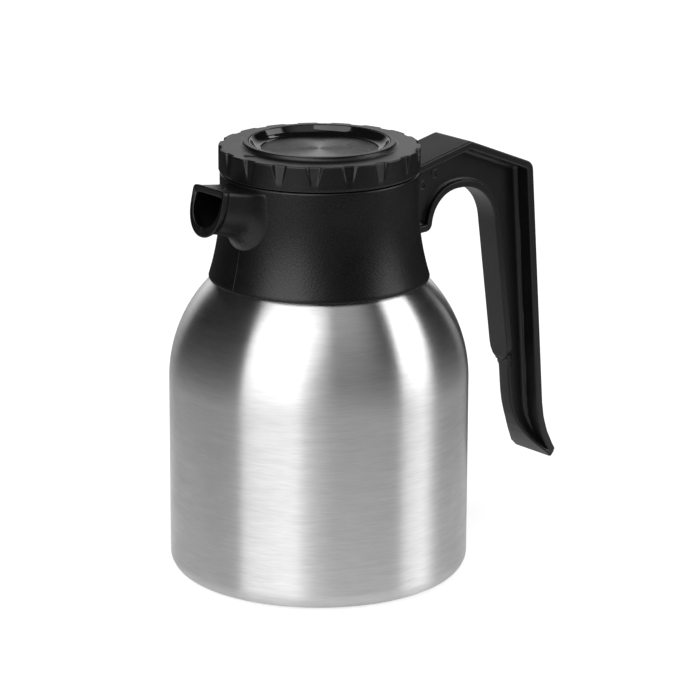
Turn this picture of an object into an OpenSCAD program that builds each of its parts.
// Double-wall steel carafe with a moulded pouring collar, a twist-lock lid
// and an open I-section handle. Z is up and the origin lies on the ground,
// on the axis of the jug. The spout points to -X and the handle to +X.

/* [Jug] */
// Outer radius of the steel shell
body_r = 65; // [60:0.5:68]
// Rounding between the wall and the base
base_round = 7.5; // [4:0.5:10]
// Height at which the shoulder starts to close in
shoulder_z = 86; // [84:0.5:87]
// Radius of the shoulder's arc
shoulder_r = 62; // [61:0.5:62.5]
// Outer radius of the shell's neck, hidden under the collar
neck_r = 40.4; // [40.2:0.1:40.6]
// Height of the welded mouth rim
mouth_z = 149.8; // [149.6:0.1:149.8]
// Thickness of the steel sheet
sheet = 0.8; // [0.6:0.1:0.8]
// Width of the evacuated gap at the wall
vacuum_gap = 5.7; // [4:0.1:7]

/* [Collar] */
// Outer radius of the collar where it is straight
collar_r = 42.7; // [42.6:0.1:42.9]
// Radius of the hollow flare at the collar's foot
flare_r = 114; // [110:1:118]
// Height where the flare leaves the straight part
flare_top_z = 165; // [164:0.5:166]
// Lowest edge of the collar
collar_foot_z = 131; // [130.8:0.1:131.5]
// Top edge of the collar
collar_top_z = 177.5; // [177.3:0.1:177.6]
// Wall of the collar
collar_wall = 2.4; // [2:0.1:2.6]
// Bore that the stopper turns in
bore_r = 38.6; // [38.5:0.1:38.8]

/* [Spout] */
// Reach of the upper lip from the axis
lip_reach = 59.7; // [57:0.1:61]
// How far the lower lip stands out past the upper one
lip_overhang = 4.5; // [3:0.1:5]
// Half of the spout's width behind the lip
spout_half_w = 10.2; // [9.5:0.1:11]
// Height of the upper lip
lip_top_z = 178.9; // [178.5:0.1:179.5]
// Height of the lower lip
lip_low_z = 158.2; // [157.5:0.1:158.5]
// Wall of the spout
spout_wall = 2.2; // [1.8:0.1:2.4]

/* [Lid] */
// Outer radius of the lid
lid_r = 43.2; // [43:0.1:43.6]
// Top face of the lid
lid_top_z = 188.8; // [188:0.1:190]
// Lower edge of the lid's skirt
lid_low_z = 178.5; // [178.4:0.1:178.8]
// Radius of the pocket that the glossy dish sits in
dish_hole_r = 30.5; // [29.5:0.1:31.5]
// Radius at the foot of the raised ring round the dish
boss_r = 34.4; // [33.8:0.1:34.6]
// Top of the raised ring, the highest point of the jug
boss_top_z = 190.8; // [190:0.1:191.5]
// Number of finger grooves round the skirt
groove_count = 18; // [12:1:24]
// Depth of a groove at the top face
groove_depth = 1.3; // [0.8:0.1:1.5]
// Half width of a groove's floor at the top face
groove_floor_top = 2.4; // [1.8:0.1:2.8]
// Half width of a groove's floor where it runs out
groove_floor_low = 1.2; // [0.8:0.1:1.8]
// Turning angle between one bayonet lug and its slot's end
lug_angle = 30; // [24:1:32]

/* [Handle] */
// Width of the handle's outer flange
handle_w = 24.5; // [22:0.5:26]
// Thickness of the outer flange
flange_t = 3.5; // [3:0.1:4]
// Thickness of the web between the flanges
web_t = 7; // [6:0.5:8]
// Full width of the finger grip
grip_w = 12.4; // [11:0.2:14]
// Width of the flat part of the finger grip
grip_flat_w = 11.4; // [10:0.2:13]
// Thickness of the finger grip
grip_t = 3.1; // [2.6:0.1:3.4]
// Highest point of the handle
handle_top_z = 181.4; // [180:0.1:182]

/* [Hidden] */
$fn = 128;
steel = [0.74, 0.74, 0.73];
dark_plastic = [0.1, 0.1, 0.105];
gloss_plastic = [0.03, 0.03, 0.035];
seal_colour = [0.2, 0.2, 0.2];

// The shoulder's arc is centred a little off the axis, so it runs into the wall
shoulder_x = body_r - shoulder_r;
shell_z = 0.4;
base_hole_r = 50;
pad_r = 49.5;
plate_z = shell_z + sheet;
flask_z = 10;
flask_neck_r = 34.8;
flask_corner = 12;
recess_r = 40.2;
ledge_z = 156.5;
shelf_z = mouth_z + 1;
shelf_top_z = 152.6;
stopper_r = bore_r - 0.4;
stopper_z = 153;
lug_z = 153.2;
lug_h = 3;
lug_r = recess_r - 0.3;
lug_count = 3;
window_half_w = 8.6;
window_low_z = 161;
window_top_z = 174;
cap_seat_z = 184.3;
dish_seat_z = 185.9;
dish_r = dish_hole_r - 0.3;
dish_rim_z = boss_top_z - 0.2;
boss_fillet = boss_top_z - lid_top_z;
groove_start_z = lid_low_z + 1.6;
mark_corners = [[-34.3, 7.6], [-38.6, 3.2], [-35.2, -0.8]];
tongue_t = 3;
grip_edge = 0.5;
screw_places = [[63.3, 167.6], [56.1, 163.6]];

// Points of an arc in the plane, from angle a to angle b
function arc(centre, r, a, b, steps) =
  [for (i = [0:steps]) let (t = a + (b - a) * i / steps) centre + r * [cos(t), sin(t)]];

// Heading of a direction, and the turn from one direction to the next
function heading(v) = atan2(v[1], v[0]);
function turn(a, b) = let (t = heading(b) - heading(a)) t > 180 ? t - 360 : t < -180 ? t + 360 : t;

// One corner of a path, rounded by an arc of radius r that touches both sides
function rounded(p, q, s, r) =
  let (a = (q - p) / norm(q - p), b = (s - q) / norm(s - q), t = turn(a, b))
  r == 0 || abs(t) < 1 ? [q] :
  let (side = sign(t), reach = r * tan(abs(t) / 2), from = q - a * reach)
  let (centre = from + side * r * [-a[1], a[0]], start = heading(from - centre))
  arc(centre, r, start, start + t, max(2, ceil(abs(t) / 7)));

// A path given by its corners, each as [x, z, radius]
function smooth_path(c) = [
  for (i = [0:len(c) - 1])
    each i == 0 || i == len(c) - 1 ? [[c[i][0], c[i][1]]] :
      rounded([c[i - 1][0], c[i - 1][1]], [c[i][0], c[i][1]], [c[i + 1][0], c[i + 1][1]], c[i][2])
];

// Unit normal at each point of a path, on its left
function path_normal(p, i) =
  let (v = p[min(i + 1, len(p) - 1)] - p[max(i - 1, 0)])
  [-v[1], v[0]] / norm(v);
function shifted(p, d) = [for (i = [0:len(p) - 1]) p[i] + d * path_normal(p, i)];
function backwards(p) = [for (i = [len(p) - 1:-1:0]) p[i]];

// A closed skin over rings of equal length
module skin(rings) {
  n = len(rings[0]);
  last = len(rings) - 1;
  sides = [
    for (i = [0:last - 1], j = [0:n - 1])
      each let (k = (j + 1) % n)
        [[i * n + j, i * n + k, (i + 1) * n + k], [i * n + j, (i + 1) * n + k, (i + 1) * n + j]]
  ];
  ends = [[for (j = [n - 1:-1:0]) j], [for (j = [0:n - 1]) last * n + j]];
  polyhedron(points = [for (r = rings) each r], faces = concat(sides, ends));
}

// Jug outline to the axis: rounded foot, wall, arched shoulder and neck
module jug_outline(r, z, corner, arc_r, neck, top) {
  translate([0, z]) square([r - corner, corner]);
  translate([0, z + corner]) square([r, shoulder_z - z - corner]);
  intersection() {
    translate([r - corner, z + corner]) circle(corner);
    translate([0, z]) square([r, corner]);
  }
  intersection() {
    translate([shoulder_x, shoulder_z]) circle(arc_r);
    translate([0, shoulder_z]) square([r, arc_r]);
  }
  translate([0, shoulder_z]) square([neck, top - shoulder_z]);
}

module outer_shell() {
  color(steel)
  rotate_extrude()
  difference() {
    jug_outline(body_r, shell_z, base_round, shoulder_r, neck_r, mouth_z - sheet);
    jug_outline(body_r - sheet, shell_z + sheet, base_round - sheet, shoulder_r - sheet,
      neck_r - sheet, mouth_z + 1);
    square([base_hole_r, shell_z + 2 * sheet]);
  }
}

module inner_flask() {
  r = body_r - sheet - vacuum_gap;
  arc_r = shoulder_r - sheet - vacuum_gap;
  color(steel)
  rotate_extrude()
  difference() {
    union() {
      jug_outline(r, flask_z, flask_corner, arc_r, flask_neck_r, mouth_z);
      translate([0, mouth_z - sheet]) square([neck_r, sheet]);
    }
    jug_outline(r - sheet, flask_z + sheet, flask_corner - sheet, arc_r - sheet,
      flask_neck_r - sheet, mouth_z + 1);
  }
}

module base_plate() {
  color(steel)
  rotate_extrude()
  difference() {
    union() {
      translate([0, plate_z]) square([base_hole_r + 2, sheet]);
      square([10, plate_z + 2 + sheet]);
    }
    square([10 - sheet, plate_z + 2]);
    square([10, plate_z]);
  }
}

// Disc that closes the evacuation hole in the base plate
module vacuum_seal() {
  color(steel)
  translate([0, 0, plate_z + 0.8]) cylinder(r = 6, h = 1.2);
}

// Thin rubber pad that the jug stands on
module base_pad() {
  color(seal_colour)
  rotate_extrude()
  difference() {
    square([pad_r, plate_z]);
    for (r = [34, 40]) translate([r, 0]) square([3, 0.3]);
  }
}

// Collar outline to the axis, grown by a gap
module collar_outline(grow) {
  difference() {
    translate([0, collar_foot_z - grow])
      square([collar_r + 5.1 + grow, flare_top_z - collar_foot_z + grow]);
    translate([collar_r + flare_r, flare_top_z]) circle(flare_r - grow, $fn = 360);
  }
  translate([0, flare_top_z]) square([collar_r + grow, collar_top_z - flare_top_z + grow]);
}

// D section of the spout at one place, as points in the Y-Z plane
function spout_ring(x_top, lean, half_w, z_top, z_low, steps) =
  let (h = z_top - z_low, z_mid = z_top - 0.32 * h)
  [for (i = [0:steps - 1])
    let (a = 360 * i / steps, up = sin(a) >= 0, p = up ? 0.2 : 0.92, b = up ? 0.32 * h : 0.68 * h)
    let (y = half_w * sign(cos(a)) * pow(abs(cos(a)), p), z = z_mid + b * sign(sin(a)) * pow(abs(sin(a)), p))
    [x_top - lean * (z_top - z) / h, y, z]];

// Fillet that the spout's root makes with the collar, by distance from it
function root_fillet(d, r) = d >= r ? 0 : r - sqrt(r * r - (r - d) * (r - d));

// Outer skin of the spout, from inside the collar's wall over the neck to the lip bead
function spout_rings() =
  let (root = 39.2, face = collar_r + 0.6, neck = lip_reach - 2.1, steps = 40)
  let (body = [for (i = [0:8]) face + (neck - face) * pow(i / 8, 1.6)])
  [for (r = [root, each body, neck + 0.2, neck + 0.7, neck + 1.4, lip_reach])
    let (t = (r - root) / (lip_reach - root), back = lip_reach - r)
    let (bead = sqrt(max(0, (r - neck) / (lip_reach - neck))))
    let (belly = 0.155 * back + 0.0135 * back * back + root_fillet(max(0, r - face), 6.5))
    spout_ring(-r, lip_overhang * t,
      spout_half_w + 2.3 * (1 - t) + 0.45 * root_fillet(r - root, 7) + 0.45 * bead,
      lip_top_z - 3.2 * (1 - t) - 0.3 * (1 - bead), lip_low_z + 1.5 * (1 - bead) - belly, steps)];

// The duct inside the spout, run past both ends
function duct_rings() =
  let (steps = 40, inner = 33, outer = lip_reach + 6)
  [for (i = [0:8])
    let (t = i / 8, r = inner + (outer - inner) * t)
    spout_ring(-r, lip_overhang, spout_half_w - spout_wall + 0.3 + 0.9 * (1 - t),
      lip_top_z - spout_wall - 0.3 - 2.6 * (1 - t), lip_low_z + spout_wall + 0.8 + 0.2 * (1 - t), steps)];

// A ring sector with height, turned to an angle
module sector(r_in, r_out, width, angle, z, h) {
  far = r_out * 2;
  translate([0, 0, z])
  linear_extrude(h)
  intersection() {
    difference() {
      circle(r_out);
      circle(r_in);
    }
    rotate(angle)
      polygon([[0, 0], far * [cos(width / 2), -sin(width / 2)], far * [cos(width / 2), sin(width / 2)]]);
  }
}

// Everything that is hollowed out of the collar, as one section to the axis
module collar_hollow() {
  translate([0, ledge_z]) square([bore_r, 40]);
  translate([0, shelf_top_z]) square([recess_r, ledge_z - shelf_top_z]);
  translate([0, collar_foot_z - 1]) square([36.9, 40]);
  difference() {
    translate([0, collar_foot_z - 1]) square([60, shelf_z - collar_foot_z + 1]);
    translate([collar_r + flare_r, flare_top_z]) circle(flare_r + collar_wall, $fn = 360);
    translate([neck_r + 0.2, collar_foot_z + 7]) square([1.8, 20]);
  }
  translate([shoulder_x, shoulder_z]) circle(shoulder_r + 0.15, $fn = 240);
}

// Flat tongue on the collar that the handle is screwed to
module tongue() {
  rotate([90, 0, 0])
  linear_extrude(tongue_t, center = true)
  polygon([[40.6, 158.5], [58, 158.5], [68, 164.5], [68, 171], [40.6, 171]]);
}

module collar() {
  color(dark_plastic)
  difference() {
    union() {
      rotate_extrude() collar_outline(0);
      skin(spout_rings());
      tongue();
    }
    rotate_extrude()
    intersection() {
      collar_hollow();
      square([60, 200]);
    }
    skin(duct_rings());
    for (k = [0:lug_count - 1])
      sector(30, recess_r, lug_angle + 6, 180 + 120 * k, ledge_z - 1, 40);
    for (p = screw_places)
      translate([p[0], 0, p[1]]) rotate([90, 0, 0]) cylinder(r = 1.3, h = 20, center = true);
  }
}

// Flat ring between the mouth rim and the collar's shelf
module collar_gasket() {
  color(seal_colour)
  translate([0, 0, mouth_z])
  difference() {
    cylinder(r = neck_r - 0.1, h = 1);
    translate([0, 0, -1]) cylinder(r = 37, h = 3);
  }
}

// Corners of the handle's back, from the collar to the tip: [x, z, radius]
back_corners = [
  [40, handle_top_z - 8, 0], [76.3, handle_top_z, 2.5], [113.4, 166.4, 5],
  [123, 42, 47], [132.6, 26, 0]
];
// Corners of the finger side, from the collar over the arch and down the grip
finger_corners = [
  [40, 141.8, 0], [58.9, 142.6, 3.5], [61.5, 159.3, 15], [95.6, 159.3, 20], [105.9, 75, 0]
];
// Corners of the web's front edge below the grip, down to the tip
toe_corners = [[108.1, 74, 0], [111, 42.7, 42], [131.7, 22, 0]];
back_path = smooth_path(back_corners);
finger_path = smooth_path(finger_corners);
toe_path = smooth_path(toe_corners);

// Unit direction from corner i of a path to the next one, and its left side
function run(c, i) = let (v = [c[i + 1][0] - c[i][0], c[i + 1][1] - c[i][1]]) v / norm(v);
function left_of(v) = [-v[1], v[0]];

// Corners moved to the right of the path by d, each arc kept concentric
function inset_corners(c, d) = [
  for (i = [0:len(c) - 1])
    let (a = run(c, max(i - 1, 0)), b = run(c, min(i, len(c) - 2)))
    let (m = (left_of(a) + left_of(b)) / (1 + a * b))
    [c[i][0] - d * m[0], c[i][1] - d * m[1], max(0.8, c[i][2] + sign(turn(a, b)) * d)]
];

// Running length along a path up to point i
function length_to(p, i) = i == 0 ? 0 : norm(p[i] - p[i - 1]) + length_to(p, i - 1);

// More points on the long straight runs of a path
function refined(p, step) = [
  for (i = [0:len(p) - 2])
    each let (n = max(1, ceil(norm(p[i + 1] - p[i]) / step)))
      [for (k = [0:n - 1]) p[i] + (p[i + 1] - p[i]) * k / n],
  p[len(p) - 1]
];

// Grip half width at a distance from its lower end, which is rounded
function grip_half(full, left) = left > 8 ? full : full * sqrt(1 - pow(1 - max(left, 0.1) / 8, 2));

// Finger grip: a strip with eased edges swept along the finger side
module grip() {
  p = refined(finger_path, 6);
  end = length_to(p, len(p) - 1);
  rings = [
    for (i = [0:len(p) - 1])
      let (q = p[i], n = path_normal(p, i), left = end - length_to(p, i))
      let (a = grip_half(grip_flat_w / 2, left), b = grip_half(grip_w / 2, left))
      [for (c = [[0, -a], [grip_edge, -b], [grip_t, -b], [grip_t, b], [grip_edge, b], [0, a]])
        [q[0] + n[0] * c[0], c[1], q[1] + n[1] * c[0]]]
  ];
  skin(rings);
}

// The handle seen from the side, from the back surface to the web's front edge
module handle_side() {
  polygon(concat(back_path, backwards(toe_path), backwards(shifted(finger_path, 1))));
}

// Outer flange seen from the side
module flange_side() {
  polygon(concat(back_path, backwards(smooth_path(inset_corners(back_corners, flange_t)))));
}

// Extrudes a side view to a width across the symmetry plane
module across(width) {
  rotate([90, 0, 0]) linear_extrude(width, center = true) children();
}

// The toe widens from the web to the full flange as it nears the tip
module toe() {
  neck_w = 6.4;
  spread = handle_w / 2 - neck_w / 2;
  drop = 23;
  r = (drop * drop + spread * spread) / (2 * spread);
  intersection() {
    across(handle_w) handle_side();
    rotate([90, 0, 90])
    linear_extrude(140)
    difference() {
      translate([-handle_w / 2, 20]) square([handle_w, 32]);
      for (s = [-1, 1]) translate([s * (neck_w / 2 + r), 52]) circle(r, $fn = 180);
    }
  }
}

module handle() {
  color(dark_plastic)
  difference() {
    union() {
      across(web_t) handle_side();
      across(handle_w) flange_side();
      grip();
      toe();
    }
    rotate_extrude() {
      collar_outline(0.1);
      translate([0, flare_top_z]) square([collar_r + 0.1, 40]);
    }
    across(tongue_t + 0.3) translate([40, 158.2]) square([28.3, 13.1]);
    across(handle_w + 2) translate([127.7, 26]) rotate(44) translate([-10, -12]) square([24, 12]);
    for (p = screw_places) {
      translate([p[0], 0, p[1]]) rotate([90, 0, 0]) cylinder(r = 1.3, h = 20, center = true);
      translate([p[0], -web_t / 2 - 1, p[1]]) rotate([-90, 0, 0]) cylinder(r = 2.3, h = 1.8);
    }
  }
}

// Screw across the handle's root, its head on the near side
module handle_screw(place) {
  color(steel)
  translate([place[0], -web_t / 2 - 0.4, place[1]])
  rotate([-90, 0, 0])
  difference() {
    union() {
      cylinder(r = 2.15, h = 1.2);
      cylinder(r = 1.2, h = web_t + 0.2);
    }
    translate([0, 0, -0.1]) cylinder(r = 1, h = 0.9, $fn = 6);
  }
}

// Ring that stays on the mouth rim while the lid turns above it
module lid_gasket() {
  color(seal_colour)
  rotate_extrude()
  difference() {
    translate([34.3, mouth_z + 0.3]) square([2.2, 2.5]);
    translate([36.5, mouth_z + 1.6]) circle(0.5, $fn = 32);
  }
}

// Section of the lid's cap
module cap_section() {
  difference() {
    union() {
      translate([39, lid_low_z]) square([lid_r - 39, lid_top_z - lid_low_z - 0.6]);
      translate([26.5, cap_seat_z]) square([lid_r - 27.1, lid_top_z - cap_seat_z]);
      translate([lid_r - 0.6, lid_top_z - 0.6]) circle(0.6, $fn = 48);
      polygon(concat(
        [[dish_hole_r - 1, boss_top_z], [dish_hole_r - 1, cap_seat_z + 1], [boss_r, cap_seat_z + 1]],
        arc([boss_r, boss_top_z], boss_fillet, 270, 180, 7)));
    }
    translate([0, dish_seat_z]) square([dish_hole_r, 10]);
    translate([40.3, lid_low_z - 1]) square([1.9, 1.9]);
    translate([38, lid_low_z - 1]) square([2.3, 1.5]);
  }
}

// Flat-floored groove that grows wider and deeper from its start to the top face
module groove(angle) {
  rise = lid_top_z - groove_start_z;
  widening = groove_floor_top - groove_floor_low;
  rotate(angle)
  intersection() {
    translate([lid_r - groove_floor_low, 0, groove_start_z])
    rotate([0, -atan((widening + groove_depth) / rise), 0])
    translate([0, 0, -4])
    linear_extrude(rise + 10)
    polygon([[0, 0], [9, 9], [9, -9]]);
    translate([lid_r, 0, groove_start_z])
    rotate([0, -atan(groove_depth / rise), 0])
    translate([0, -10, -4])
    cube([8, 20, rise + 10]);
  }
}

module lid_cap() {
  pitch = 360 / groove_count;
  color(dark_plastic)
  difference() {
    union() {
      rotate_extrude() cap_section();
      translate([0, 0, lid_top_z - 0.5]) linear_extrude(1) polygon(mark_corners);
    }
    for (k = [0:groove_count - 1]) groove(230 - 2.4 + pitch * k);
  }
}

// Glossy dish set in the top of the cap
module lid_dish() {
  color(gloss_plastic)
  rotate_extrude()
  polygon([
    [0, dish_seat_z], [dish_r, dish_seat_z], [dish_r, dish_rim_z], [dish_r - 0.3, dish_rim_z],
    [24.6, dish_seat_z + 1.2], [0, dish_seat_z + 1.2]
  ]);
}

// Ring in the cap's groove, above the collar's top edge
module lid_face_gasket() {
  color(seal_colour)
  translate([0, 0, collar_top_z + 0.4])
  difference() {
    cylinder(r = 42.1, h = 1.5);
    translate([0, 0, -1]) cylinder(r = 40.4, h = 4);
  }
}

// Window with round corners, seen along the spout
module window_shape() {
  r = 3;
  w = window_half_w;
  low = window_low_z;
  top = window_top_z;
  translate([-w + r, low]) square([2 * (w - r), top - low]);
  translate([-w, low + r]) square([2 * w, top - low - 2 * r]);
  for (x = [-w + r, w - r], z = [low + r, top - r]) translate([x, z]) circle(r, $fn = 48);
}

// Hollow stopper, open below, with a pouring window and three bayonet lugs
module lid_stopper() {
  wall = 2;
  color(dark_plastic)
  difference() {
    union() {
      translate([0, 0, stopper_z]) cylinder(r = stopper_r, h = cap_seat_z - stopper_z);
      for (k = [0:lug_count - 1])
        sector(30, lug_r, lug_angle, 180 + 120 * k, lug_z, lug_h);
    }
    translate([0, 0, stopper_z - 1]) cylinder(r = stopper_r - wall, h = 30);
    translate([0, 0, 176.4]) cylinder(r = stopper_r - wall, h = 6);
    translate([0, 0, 175]) cylinder(r = stopper_r - wall, h = 4);
    rotate([90, 0, -90]) linear_extrude(60) window_shape();
  }
}

module lid_insulation() {
  color([0.9, 0.9, 0.86])
  translate([0, 0, 176.6]) cylinder(r = stopper_r - 2.3, h = 5.6);
}

// Disc that closes the insulated top of the stopper
module stopper_base() {
  color(dark_plastic)
  difference() {
    translate([0, 0, 175]) cylinder(r = stopper_r - 2, h = 1.4);
    for (a = [0:60:300]) rotate(a) translate([28, 0, 174.9]) cylinder(r = 1.6, h = 0.6);
  }
}

outer_shell();
inner_flask();
base_plate();
vacuum_seal();
base_pad();
collar();
collar_gasket();
handle();
handle_screw(screw_places[0]);  // handle_screw_upper
handle_screw(screw_places[1]);  // handle_screw_lower
lid_gasket();
lid_cap();
lid_dish();
lid_face_gasket();
lid_stopper();
lid_insulation();
stopper_base();
